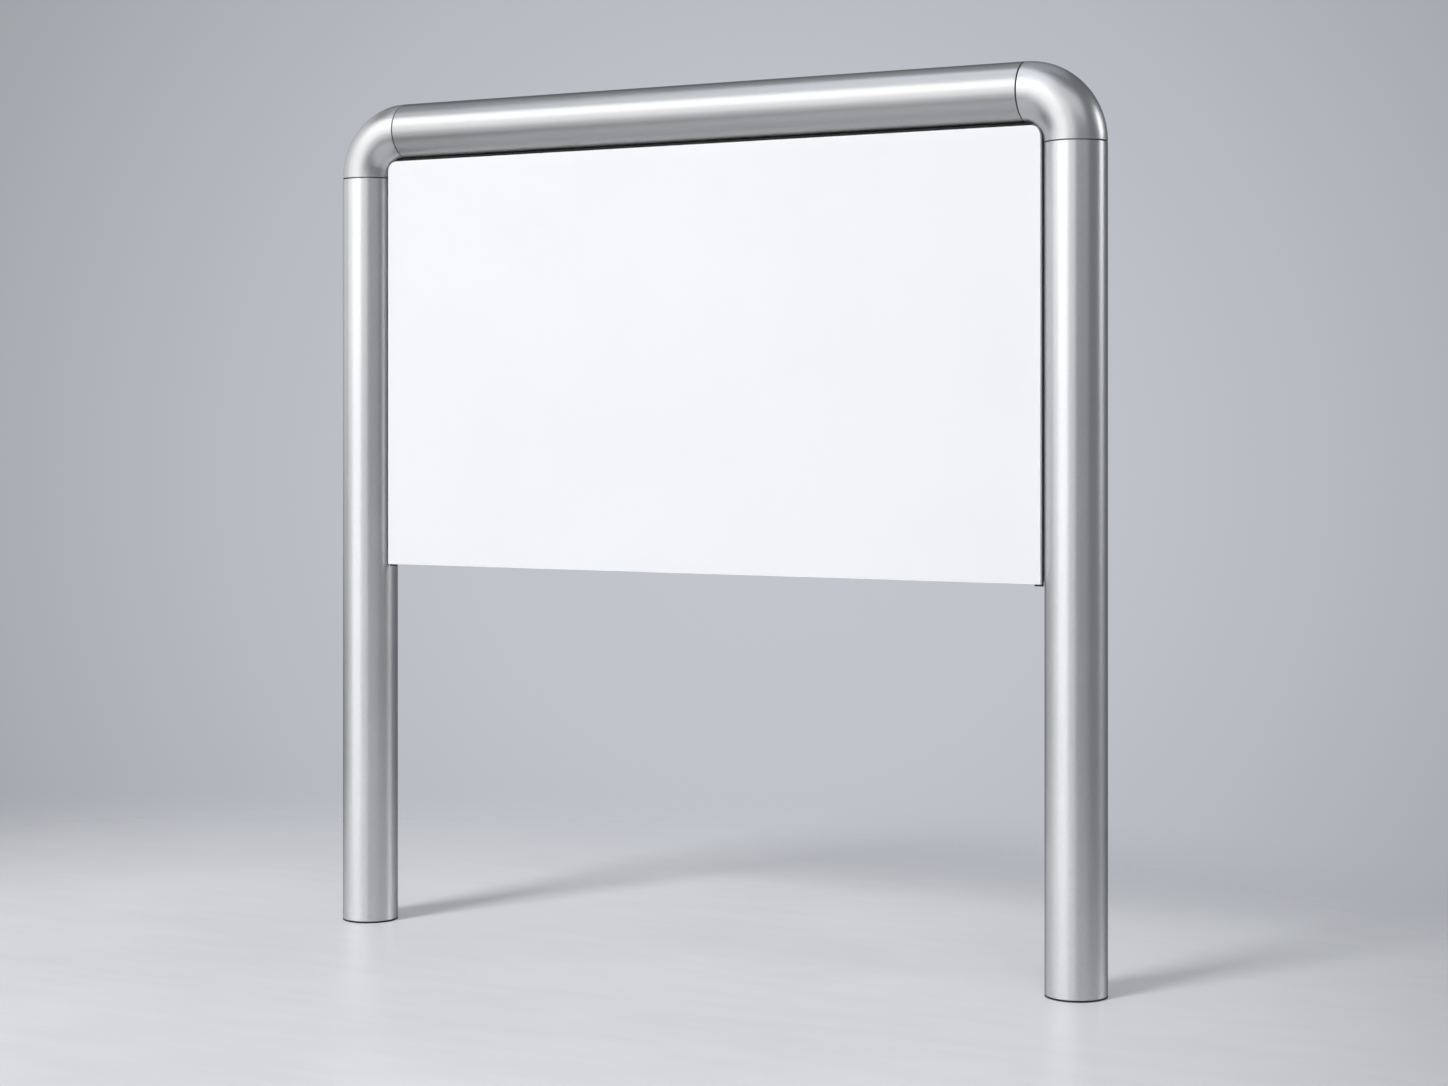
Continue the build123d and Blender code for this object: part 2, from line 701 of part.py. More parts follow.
pieces = {
    "left_post": left_post,
    "right_post": right_post,
    "cross_tube": cross_tube,
    "left_elbow": left_elbow,
    "right_elbow": right_elbow,
    "left_elbow_screws": left_elbow_screws,
    "right_elbow_screws": right_elbow_screws,
    "left_foot_plug": left_foot_plug,
    "right_foot_plug": right_foot_plug,
    "left_foot_insert": left_foot_insert,
    "right_foot_insert": right_foot_insert,
    "left_side_rail": left_side_rail,
    "right_side_rail": right_side_rail,
    "top_rail": top_rail,
    "bottom_rail": bottom_rail,
    "top_left_corner_bracket": top_left_corner_bracket,
    "top_right_corner_bracket": top_right_corner_bracket,
    "bottom_left_joint_plate": bottom_left_joint_plate,
    "bottom_right_joint_plate": bottom_right_joint_plate,
    "corner_screws": corner_screws,
    "rail_screws": rail_screws,
    "rail_rivet_nuts": rail_rivet_nuts,
    "edge_gasket": edge_gasket,
    "bottom_gasket": bottom_gasket,
    "clip_sockets": clip_sockets,
    "clip_springs": clip_springs,
    "face_panel": face_panel,
    "snap_studs": snap_studs,
}

os.makedirs("parts", exist_ok=True)
for name, piece in pieces.items():
    piece.part.label = name
    export_step(piece.part, f"parts/{name}.step")
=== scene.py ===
"""A post-mounted sign frame with a snap-in face panel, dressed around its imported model.

Sizes are in metres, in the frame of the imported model: the posts stand along Z, the cross tube runs
along X, and the panel's front looks along -Y. New pieces are surfaces worked out with numpy.
"""

import logging
import math
from collections.abc import Iterator
from dataclasses import dataclass, field
from enum import Enum
from typing import ClassVar

import bmesh
import bpy
import numpy as np
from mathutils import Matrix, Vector

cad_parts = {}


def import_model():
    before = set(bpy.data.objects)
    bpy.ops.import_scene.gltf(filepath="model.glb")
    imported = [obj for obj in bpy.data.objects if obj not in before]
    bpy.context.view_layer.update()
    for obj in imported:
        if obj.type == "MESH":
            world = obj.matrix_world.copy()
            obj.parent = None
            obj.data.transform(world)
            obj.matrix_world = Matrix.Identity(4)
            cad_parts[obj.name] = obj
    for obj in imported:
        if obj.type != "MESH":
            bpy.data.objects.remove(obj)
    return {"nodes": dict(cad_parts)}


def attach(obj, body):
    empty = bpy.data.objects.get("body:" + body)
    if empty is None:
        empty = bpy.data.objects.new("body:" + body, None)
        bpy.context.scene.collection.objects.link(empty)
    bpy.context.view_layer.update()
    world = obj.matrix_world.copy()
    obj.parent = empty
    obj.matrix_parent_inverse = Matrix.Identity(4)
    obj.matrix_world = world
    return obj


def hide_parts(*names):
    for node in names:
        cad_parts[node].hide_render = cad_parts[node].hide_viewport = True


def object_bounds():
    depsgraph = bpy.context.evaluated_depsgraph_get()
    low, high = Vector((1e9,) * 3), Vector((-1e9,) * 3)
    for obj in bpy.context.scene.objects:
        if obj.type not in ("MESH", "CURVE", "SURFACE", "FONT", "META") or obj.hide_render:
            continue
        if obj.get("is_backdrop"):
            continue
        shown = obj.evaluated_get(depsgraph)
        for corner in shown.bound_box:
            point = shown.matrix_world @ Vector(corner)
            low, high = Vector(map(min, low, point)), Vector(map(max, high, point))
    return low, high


LOG = logging.getLogger("sign_frame")
MM = 0.001
TURN = 2 * math.pi
QUARTER = TURN / 4
RIGHT, REAR, UP = np.eye(3)

Array = np.ndarray
Span = tuple[float, float]
Triple = tuple[float, float, float]
Color = Triple


class Axis(Enum):
    """The direction in which a finish was drawn, rolled or brushed.

    Each value scales the point that the grain is read at, less along the grain than across it.
    """

    X = (0.1, 1.0, 1.0)
    Z = (1.0, 1.0, 0.5)
    NONE = (1.0, 1.0, 1.0)


# Sizes of the frame

@dataclass(frozen=True)
class Layout:
    """The few sizes that the pieces share, and the places that follow from them.

    Attributes:
        post_spacing: Distance between the posts' axes.
        tube_height: Height of the cross tube's axis.
        tube_radius: Outer radius of the posts and the cross tube.
        tube_wall: Wall of the tubes.
        bend_radius: Radius of the elbows' centre line.
        joint_gap: Width of the ring that shows between a tube and an elbow.
        edge_break: Width of the broken edges of tubes and elbows.
        foot_rim: Height of the foot plug's rim under a post; the rim is black and also paints the
            contact shadow at the foot.
        screw_inset: Distance of the first elbow screw from the elbow's joint.
        screw_pitch: Distance from there to the second one.
    """

    post_spacing: float = 1050 * MM
    tube_height: float = 1094 * MM
    tube_radius: float = 38 * MM
    tube_wall: float = 3 * MM
    bend_radius: float = 63 * MM
    joint_gap: float = 1.0 * MM
    edge_break: float = 0.6 * MM
    foot_rim: float = 2 * MM
    screw_inset: float = 12 * MM
    screw_pitch: float = 22 * MM

    @property
    def post_x(self) -> float:
        """Distance of a post's axis from the middle."""
        return self.post_spacing / 2

    @property
    def elbow_x(self) -> float:
        """Distance of an elbow's upper joint, and of its bend's centre, from the middle."""
        return self.post_x - self.bend_radius

    @property
    def elbow_z(self) -> float:
        """Height of an elbow's lower joint, and of its bend's centre."""
        return self.tube_height - self.bend_radius


# Shader values

class Value:
    """One output of a shader's tree. Arithmetic on it adds Math nodes to the tree."""

    # Half way from 0 to 1, where noise lies on average
    MIDDLE: ClassVar[float] = 0.5

    def __init__(self, shader: "Shader", socket: bpy.types.NodeSocket | None) -> None:
        """Wraps an output socket, or None after the node that ends a tree."""
        self.shader = shader
        self.socket = socket

    def math(self, operation: str, *feeds: "Feed") -> "Value":
        """Adds one Math node.

        Args:
            operation: The Math node's operation.
            *feeds: Its inputs in order, as values or numbers.

        Returns:
            The node's result.
        """
        return self.shader.node("ShaderNodeMath", {"operation": operation}, dict(enumerate(feeds)))

    def __add__(self, other: "Feed") -> "Value":
        """The sum."""
        return self.math("ADD", self, other)

    def __radd__(self, other: "Feed") -> "Value":
        """The sum, with the number first."""
        return self.math("ADD", other, self)

    def __sub__(self, other: "Feed") -> "Value":
        """The difference."""
        return self.math("SUBTRACT", self, other)

    def __rsub__(self, other: "Feed") -> "Value":
        """The difference, with the number first."""
        return self.math("SUBTRACT", other, self)

    def __mul__(self, other: "Feed") -> "Value":
        """The product."""
        return self.math("MULTIPLY", self, other)

    def __rmul__(self, other: "Feed") -> "Value":
        """The product, with the number first."""
        return self.math("MULTIPLY", other, self)

    def __truediv__(self, other: "Feed") -> "Value":
        """The quotient."""
        return self.math("DIVIDE", self, other)

    def __rtruediv__(self, other: "Feed") -> "Value":
        """The quotient, with the number first."""
        return self.math("DIVIDE", other, self)

    def __pow__(self, other: "Feed") -> "Value":
        """The power."""
        return self.math("POWER", self, other)

    def __rpow__(self, other: "Feed") -> "Value":
        """The power, with the number first."""
        return self.math("POWER", other, self)

    def __abs__(self) -> "Value":
        """The size, without its sign."""
        return self.math("ABSOLUTE", self)

    def __neg__(self) -> "Value":
        """The value with its sign turned."""
        return self * -1.0

    def swing(self, amount: float) -> "Value":
        """A change about zero, of so much in all as the value goes from 0 to 1."""
        return amount * (self - self.MIDDLE)

    def mixed(self, other: "Value", share: float) -> "Value":
        """This value with a share of another mixed in."""
        return (1 - share) * self + share * other


Feed = Value | float | tuple[float, ...]


class Shader:
    """The node tree of one material or world."""

    # Where a Mix node that mixes colours has its two ends and its result
    MIX_ENDS: ClassVar[tuple[int, int]] = (6, 7)
    MIX_RESULT: ClassVar[int] = 2

    def __init__(self, tree: bpy.types.NodeTree) -> None:
        """Empties the tree, ready for its nodes."""
        self.tree = tree
        tree.nodes.clear()

    def node(
        self,
        kind: str,
        settings: dict[str, str] | None = None,
        feeds: dict[str | int, Feed] | None = None,
        output: str | int = 0,
    ) -> Value:
        """Adds one node, its settings first and then its sockets.

        Args:
            kind: The node's type.
            settings: Its settings by name.
            feeds: Values, numbers or colours for its input sockets.
            output: The output socket that the result wraps.

        Returns:
            The chosen output.
        """
        made = self.tree.nodes.new(kind)
        for name, setting in (settings or {}).items():
            setattr(made, name, setting)
        for name, feed in (feeds or {}).items():
            if isinstance(feed, Value):
                self.tree.links.new(feed.socket, made.inputs[name])
            else:
                made.inputs[name].default_value = feed
        return Value(self, made.outputs[output] if made.outputs else None)

    def place(self, stretch: Triple = (1.0, 1.0, 1.0)) -> Value:
        """The point on the piece in metres, each axis scaled by its own factor."""
        point = self.node("ShaderNodeTexCoord", output="Object")
        return self.node("ShaderNodeMapping", None, {"Vector": point, "Scale": stretch})

    def parts(self, point: Value) -> tuple[Value, ...]:
        """The three coordinates of a point."""
        split = self.node("ShaderNodeSeparateXYZ", None, {0: point})
        return tuple(Value(self, socket) for socket in split.socket.node.outputs)

    def noise(
        self, place: Value, per_metre: float, detail: float = 2.0, rough: float = 0.5
    ) -> Value:
        """Soft noise from 0 to 1.

        Args:
            place: The point that it is read at.
            per_metre: How many swells there are in a metre.
            detail: How many finer layers are added.
            rough: How strong those layers are.

        Returns:
            The noise, 0.5 on average.
        """
        feeds = {"Vector": place, "Scale": per_metre, "Detail": detail, "Roughness": rough}
        return self.node("ShaderNodeTexNoise", None, feeds)

    def ramp(self, value: Value, low: float, high: float) -> Value:
        """A smooth step from 0 at low to 1 at high, limited to that range."""
        settings = {"interpolation_type": "SMOOTHSTEP"}
        feeds = {"Value": value, "From Min": low, "From Max": high}
        return self.node("ShaderNodeMapRange", settings, feeds)

    def blend(self, factor: Value, first: Color, second: Color) -> Value:
        """A colour between two others, through a Mix node: the first at 0, the second at 1."""
        start, end = self.MIX_ENDS
        feeds = {"Factor": factor, start: (*first, 1.0), end: (*second, 1.0)}
        return self.node("ShaderNodeMix", {"data_type": "RGBA"}, feeds, self.MIX_RESULT)

    def bump(self, height: Value, depth: float) -> Value:
        """The normal of a surface raised by a height from 0 to 1, depth metres in all."""
        return self.node("ShaderNodeBump", None, {"Height": height, "Distance": depth})

    def principled(self, **sockets: Feed) -> Value:
        """Adds a Principled shader, its sockets named in small letters with low dashes."""
        feeds = {}
        for name, feed in sockets.items():
            label = name.replace("_", " ").title().replace("Ior", "IOR")
            feeds[label] = (*feed, 1.0) if isinstance(feed, tuple) else feed
        return self.node("ShaderNodeBsdfPrincipled", None, feeds)

    def surface(self, shader: Value) -> None:
        """Ends a material's tree with its surface."""
        self.node("ShaderNodeOutputMaterial", None, {"Surface": shader})


# Finishes

def darker(color: Color, share: float) -> Color:
    """The colour with only a share of its light."""
    return tuple(share * part for part in color)


@dataclass(frozen=True)
class Finish:
    """A finish and its main colour, made into a material for each piece that asks for it."""

    name: str
    color: Color

    def dress(self, shader: Shader) -> None:
        """Fills a material's tree, in each kind of finish's own way."""
        raise NotImplementedError(self.name)

    def material(self) -> bpy.types.Material:
        """The finish as a new material."""
        made = bpy.data.materials.new(self.name)
        made.use_nodes = True
        self.dress(Shader(made.node_tree))
        return made


@dataclass(frozen=True)
class SatinMetal(Finish):
    """Drawn, rolled or brushed metal with a satin finish.

    The grain is noise stretched along the drawing direction. It lifts the surface by microns and
    makes it duller where it is high, while slow noise clouds the gloss as handling does.

    Attributes:
        gloss: The roughness, on average.
        axis: The direction of the grain.
        grain_per_metre: Swells of the grain in a metre.
        grain_depth: How high the grain stands, in metres.
        cloud: How much the clouds change the roughness.
        streak: How far reflections are drawn out.
        streak_turn: The direction of that, as a share of a turn.
        rim: How strongly the metal reflects where it is seen edge on.
        finer: Swells of the finest grain to one of the grain.
        fine_share: The share of the finest grain in the relief.
        clouds_per_metre: Clouds in a metre.
        cloud_share: The share of the clouds in the tone.
        tone_span: The noise at which the metal is darkest and brightest.
        darkest: The share of its light that the metal keeps where it is darkest.
        grain_gloss: How much the grain changes the roughness.
    """

    gloss: float
    axis: Axis = Axis.NONE
    grain_per_metre: float = 900.0
    grain_depth: float = 0.000003
    cloud: float = 0.04
    streak: float = 0.0
    streak_turn: float = 0.0
    rim: float = 0.6
    finer: float = 4.5
    fine_share: float = 0.25
    clouds_per_metre: float = 9.0
    cloud_share: float = 0.4
    tone_span: Span = (0.3, 0.7)
    darkest: float = 0.93
    grain_gloss: float = 0.08

    def grain_place(self, shader: Shader) -> Value:
        """The point that the grain is read at, pressed together along the drawing direction."""
        return shader.place(self.axis.value)

    def dress(self, shader: Shader) -> None:
        """Fills the tree: grain and clouds change the tone and the gloss, grain the relief."""
        stretched = self.grain_place(shader)
        grain = shader.noise(stretched, self.grain_per_metre, detail=3.0, rough=0.65)
        fine = shader.noise(stretched, self.finer * self.grain_per_metre, detail=1.0)
        clouds = shader.noise(shader.place(), self.clouds_per_metre, detail=3.0)
        tone = shader.ramp(grain.mixed(clouds, self.cloud_share), *self.tone_span)
        shader.surface(shader.principled(
            base_color=shader.blend(tone, darker(self.color, self.darkest), self.color),
            metallic=1.0,
            roughness=self.gloss + grain.swing(self.grain_gloss) + clouds.swing(self.cloud),
            specular_tint=(self.rim, self.rim, self.rim),
            anisotropic=self.streak,
            anisotropic_rotation=self.streak_turn,
            normal=shader.bump(grain.mixed(fine, self.fine_share), self.grain_depth),
        ))


@dataclass(frozen=True)
class BentMetal(SatinMetal):
    """Satin metal polished along a quarter bend, the same on both sides of the sign.

    The grain is read at the distance from the bend's centre, the depth, and a short length for
    each radian round the bend, so that it follows the bend.

    Attributes:
        centre_x: Distance of the bend's centre from the middle of the sign.
        centre_z: Height of the bend's centre.
        length_per_radian: How far the grain moves on for each radian, in metres.
    """

    centre_x: float = Layout().elbow_x
    centre_z: float = Layout().elbow_z
    length_per_radian: float = 0.012

    def grain_place(self, shader: Shader) -> Value:
        """The point that the grain is read at, unrolled from the bend."""
        x, y, z = shader.parts(shader.place())
        across = abs(x) - self.centre_x
        rise = z - self.centre_z
        reach = (across * across + rise * rise) ** 0.5
        along = self.length_per_radian * rise.math("ARCTAN2", rise, across)
        return shader.node("ShaderNodeCombineXYZ", None, {0: reach, 1: y, 2: along})


@dataclass(frozen=True)
class TurnedMetal(Finish):
    """Turned or headed metal, bright or plated, with a faint tint that drifts over it.

    Attributes:
        tint: The colour that it drifts to.
        gloss: The roughness, on average.
        drift_per_metre: Swells of the tint in a metre.
        drift_span: The noise at which the tint starts and is full.
        grain_per_metre: Tool marks in a metre.
        grain_depth: How high they stand, in metres.
        grain_gloss: How much they change the roughness.
    """

    tint: Color
    gloss: float
    drift_per_metre: float = 160.0
    drift_span: Span = (0.35, 0.68)
    grain_per_metre: float = 4200.0
    grain_depth: float = 0.000003
    grain_gloss: float = 0.14

    def dress(self, shader: Shader) -> None:
        """Fills the tree: slow noise drifts the tint, and grain changes gloss and relief."""
        place = shader.place()
        drift = shader.ramp(shader.noise(place, self.drift_per_metre), *self.drift_span)
        grain = shader.noise(place, self.grain_per_metre)
        shader.surface(shader.principled(
            base_color=shader.blend(drift, self.color, self.tint),
            metallic=1.0,
            roughness=self.gloss + grain.swing(self.grain_gloss),
            normal=shader.bump(grain, self.grain_depth),
        ))


@dataclass(frozen=True)
class Lacquer(Finish):
    """A smooth matt lacquer with a faint orange peel and a trace of dust in its gloss.

    Attributes:
        gloss: The roughness, on average.
        peel_per_metre: Swells of the orange peel in a metre.
        peel_depth: How high it stands, in metres.
        peel_gloss: How much it changes the roughness.
        clouds_per_metre: Patches of dust in a metre.
        cloud_span: The noise at which the dust is thickest and gone.
        cloud_gloss: How much the dust changes the roughness.
        dusty: The share of its light that the lacquer keeps under the dust.
    """

    gloss: float
    peel_per_metre: float = 620.0
    peel_depth: float = 0.000003
    peel_gloss: float = 0.05
    clouds_per_metre: float = 4.0
    cloud_span: Span = (0.35, 0.65)
    cloud_gloss: float = 0.08
    dusty: float = 0.985

    def dress(self, shader: Shader) -> None:
        """Fills the tree: dust changes tone and gloss, and the peel gloss and relief."""
        place = shader.place()
        peel = shader.noise(place, self.peel_per_metre)
        clouds = shader.noise(place, self.clouds_per_metre, detail=3.0)
        clear = shader.ramp(clouds, *self.cloud_span)
        shader.surface(shader.principled(
            base_color=shader.blend(clear, darker(self.color, self.dusty), self.color),
            roughness=self.gloss + clouds.swing(self.cloud_gloss) + peel.swing(self.peel_gloss),
            specular_ior_level=0.4,
            normal=shader.bump(peel, self.peel_depth),
        ))


@dataclass(frozen=True)
class MouldedPolymer(Finish):
    """Moulded plastic or rubber: a spark-eroded texture, paler where it is rubbed.

    Attributes:
        rubbed: The colour where it is rubbed most.
        gloss: The roughness, on average.
        texture_per_metre: Swells of the texture in a metre.
        texture_depth: How high it stands, in metres.
        texture_gloss: How much it changes the roughness.
        wear_per_metre: Rubbed patches in a metre.
        wear_span: The noise at which the wear starts and is full.
        wear_share: How far full wear goes towards the rubbed colour.
        wear_gloss: How much smoother full wear is.
    """

    rubbed: Color
    gloss: float
    texture_per_metre: float = 2600.0
    texture_depth: float = 0.000012
    texture_gloss: float = 0.12
    wear_per_metre: float = 55.0
    wear_span: Span = (0.5, 0.72)
    wear_share: float = 0.6
    wear_gloss: float = 0.1

    def dress(self, shader: Shader) -> None:
        """Fills the tree: wear changes tone and gloss, and the texture gloss and relief."""
        place = shader.place()
        texture = shader.noise(place, self.texture_per_metre, rough=0.6)
        rubbing = shader.noise(place, self.wear_per_metre, detail=4.0, rough=0.6)
        wear = shader.ramp(rubbing, *self.wear_span)
        smooth = self.gloss - self.wear_gloss * wear
        shader.surface(shader.principled(
            base_color=shader.blend(self.wear_share * wear, self.color, self.rubbed),
            roughness=smooth + texture.swing(self.texture_gloss),
            specular_ior_level=0.45,
            normal=shader.bump(texture, self.texture_depth),
        ))


@dataclass(frozen=True)
class FloorPaint(Finish):
    """Floor paint with soft clouds and trowel marks, which clears away from its middle into the
    backdrop: a painted pool of light, brightest round the middle and darker away from it.

    Attributes:
        middle: The centre of the painted pool of light, which the fade is measured from.
        light_falloff: The distances at which the paint starts to clear and is gone, the painted
            falloff of the light.
        clouds_per_metre: Clouds in a metre.
        trowel_stretch: How the point that the trowel marks are read at is scaled.
        trowel_per_metre: Trowel marks in a metre.
        trowel_share: Their share in the tone.
        trowel_gloss: How much they change the roughness.
        tone_span: The noise at which the paint is darkest and brightest.
        worn: The share of its light that the paint keeps where it is darkest.
        gloss: The roughness, on average.
    """

    middle: Triple
    light_falloff: Span
    clouds_per_metre: float = 2.5
    trowel_stretch: Triple = (0.18, 1.0, 1.0)
    trowel_per_metre: float = 26.0
    trowel_share: float = 0.5
    trowel_gloss: float = 0.15
    tone_span: Span = (0.35, 0.65)
    worn: float = 0.94
    gloss: float = 0.38

    def dress(self, shader: Shader) -> None:
        """Fills the tree: the paint, mixed with a clear surface by distance, which paints the pool
        of light.
        """
        place = shader.place()
        clouds = shader.noise(place, self.clouds_per_metre, detail=3.0)
        streaks = shader.place(self.trowel_stretch)
        trowel = shader.noise(streaks, self.trowel_per_metre, detail=4.0, rough=0.6)
        ends = {0: place, 1: self.middle}
        distance = shader.node("ShaderNodeVectorMath", {"operation": "DISTANCE"}, ends, "Value")
        tone = shader.ramp(clouds.mixed(trowel, self.trowel_share), *self.tone_span)
        paint = shader.principled(
            base_color=shader.blend(tone, darker(self.color, self.worn), self.color),
            roughness=self.gloss + trowel.swing(self.trowel_gloss),
            specular_ior_level=0.4,
        )
        clear = shader.node("ShaderNodeBsdfTransparent")
        # The fade from paint to clear surface paints the falloff of the pool of light.
        falloff = shader.ramp(distance, *self.light_falloff)
        shader.surface(shader.node("ShaderNodeMixShader", None, {0: falloff, 1: paint, 2: clear}))


SATIN_TUBE_UPRIGHT = SatinMetal(
    "satin_tube_upright", (0.64, 0.643, 0.65), gloss=0.34, axis=Axis.Z,
    grain_per_metre=420.0, grain_depth=0.00001, streak=0.7, streak_turn=0.25, rim=0.48,
)
# The cross tube's copy of the posts' satin tube stock, painted darker than theirs: painted shade in
# the reflections on its underside.
SATIN_TUBE_LEVEL_SHADED = SatinMetal(
    "satin_tube_level_shaded", (0.41, 0.411, 0.412), gloss=0.3, axis=Axis.X,
    grain_per_metre=620.0, grain_depth=0.000004,
)
CAST_ALUMINIUM = BentMetal(
    "cast_satin_aluminium", (0.52, 0.523, 0.528), gloss=0.34,
    grain_per_metre=420.0, grain_depth=0.00001, cloud=0.08,
)
# The elbows' spigots and bores: a rough as-cast finish, darkened further as painted shade in the
# joint rings, where a spigot shows between tube and elbow.
AS_CAST_SHADED = SatinMetal("as_cast_painted_shade", (0.22, 0.22, 0.225), gloss=0.55, grain_depth=0.000008)
RAIL_ALUMINIUM = SatinMetal(
    "anodised_rail", (0.42, 0.42, 0.43), gloss=0.4,
    grain_per_metre=700.0, grain_depth=0.000004, cloud=0.1,
)
STAINLESS = TurnedMetal(
    "stainless_steel", (0.58, 0.57, 0.56), tint=(0.52, 0.52, 0.53), gloss=0.24
)
ZINC = TurnedMetal("zinc_plated_steel", (0.56, 0.58, 0.6), tint=(0.6, 0.58, 0.5), gloss=0.3)
SPRING = TurnedMetal("spring_steel", (0.4, 0.41, 0.43), tint=(0.32, 0.33, 0.36), gloss=0.26)
BRASS = TurnedMetal("turned_brass", (0.72, 0.53, 0.25), tint=(0.62, 0.43, 0.2), gloss=0.27)
PANEL_WHITE = Lacquer("matt_white_face", (0.822, 0.828, 0.842), gloss=0.52)
GASKET_RUBBER = MouldedPolymer(
    "gasket_rubber", (0.012, 0.012, 0.013), rubbed=(0.03, 0.03, 0.032), gloss=0.7
)
# Black nylon of the foot plugs and sockets. The foot plug's black rim under each post also stands in
# for the contact shadow at the foot, painted shade.
NYLON = MouldedPolymer(
    "moulded_nylon", (0.01, 0.01, 0.011), rubbed=(0.025, 0.025, 0.027), gloss=0.58
)
# The floor's paint is brightest round the pool of light in front of the sign and clears into the
# darker backdrop away from it: painted light falloff.
FLOOR_PAINT = FloorPaint(
    "floor_paint", (0.79, 0.795, 0.82), middle=(-0.3, -0.6, 0.0), light_falloff=(0.75, 2.1)
)


# Surfaces

class Surface:
    """Points and faces of one piece, gathered in blocks and welded into one mesh."""

    # Points closer than this, in metres, become one
    WELD: ClassVar[float] = 0.000002
    # Edges that turn by more than this, in degrees, stay sharp
    SHARP: ClassVar[float] = 32.0

    def __init__(self) -> None:
        """Starts with no points."""
        self.points: list[Array] = []
        self.faces: list[list[int]] = []
        self.finishes: list[int] = []
        self.count = 0

    def _take(self, points: Array) -> Array:
        """Stores points and returns their indices, in the shape of their grid."""
        flat = points.reshape(-1, 3)
        self.points.append(flat)
        first = self.count
        self.count += len(flat)
        return np.arange(first, self.count).reshape(points.shape[:-1])

    def grid(self, points: Array, keep: Array | None = None, finish: int = 0) -> None:
        """Adds quads between the neighbours of a grid of points whose rows are closed rings.

        Args:
            points: The points, rings by points round a ring by 3.
            keep: Which cells are made, as a mask of the cells in the same order.
            finish: Which of the piece's finishes the faces have.
        """
        index = self._take(points)
        index = np.concatenate([index, index[:, :1]], axis=1)
        cells = np.stack([index[:-1, :-1], index[:-1, 1:], index[1:, 1:], index[1:, :-1]], axis=-1)
        chosen = cells.reshape(-1, 4) if keep is None else cells[keep]
        self.faces += chosen.tolist()
        self.finishes += [finish] * len(chosen)

    def cap(self, ring: Array) -> None:
        """Closes a ring of points with one flat face."""
        self.faces.append(self._take(ring).tolist())
        self.finishes.append(0)

    def piece(self, name: str, *finishes: bpy.types.Material) -> bpy.types.Object:
        """Welds the blocks, turns the faces outwards and makes the object.

        Args:
            name: The piece's name.
            *finishes: Its materials, in the order that the blocks count them.

        Returns:
            The object, at the origin.
        """
        mesh = bpy.data.meshes.new(name)
        mesh.from_pydata(np.concatenate(self.points).tolist(), [], self.faces)
        for finish in finishes:
            mesh.materials.append(finish)
        mesh.polygons.foreach_set("material_index", self.finishes)
        welded = bmesh.new()
        welded.from_mesh(mesh)
        bmesh.ops.remove_doubles(welded, verts=welded.verts, dist=self.WELD)
        bmesh.ops.recalc_face_normals(welded, faces=welded.faces)
        welded.to_mesh(mesh)
        welded.free()
        mesh.polygons.foreach_set("use_smooth", np.ones(len(mesh.polygons), dtype=bool))
        mesh.set_sharp_from_angle(angle=math.radians(self.SHARP))
        made = bpy.data.objects.new(name, mesh)
        bpy.context.scene.collection.objects.link(made)
        return made


def carried(centres: Array, outward: Array, side: Array, radii: Array, count: int) -> Array:
    """A circle carried along a path: centre + radius (cos t outward + sin t side).

    Args:
        centres: The path's points, one row each.
        outward: The unit direction at each point from which the circle's angle is measured.
        side: The unit direction across the path's plane.
        radii: The circle's radius at each point.
        count: Points round the circle.

    Returns:
        A grid of points, path by circle.
    """
    angle = np.arange(count) * TURN / count
    ring = np.cos(angle)[None, :, None] * outward[:, None, :] + np.sin(angle)[None, :, None] * side
    return centres[:, None, :] + radii[:, None, None] * ring


# Tubes

@dataclass(frozen=True)
class Countersink:
    """A recess for one countersunk screw in a tube's rear line, its depths measured from there.

    It goes straight in, narrows to the neck, and ends on a flat floor.
    """

    rim_radius: float = 4.65 * MM
    straight: float = 0.55 * MM
    neck_radius: float = 2.55 * MM
    neck_depth: float = 2.65 * MM
    floor_depth: float = 2.9 * MM


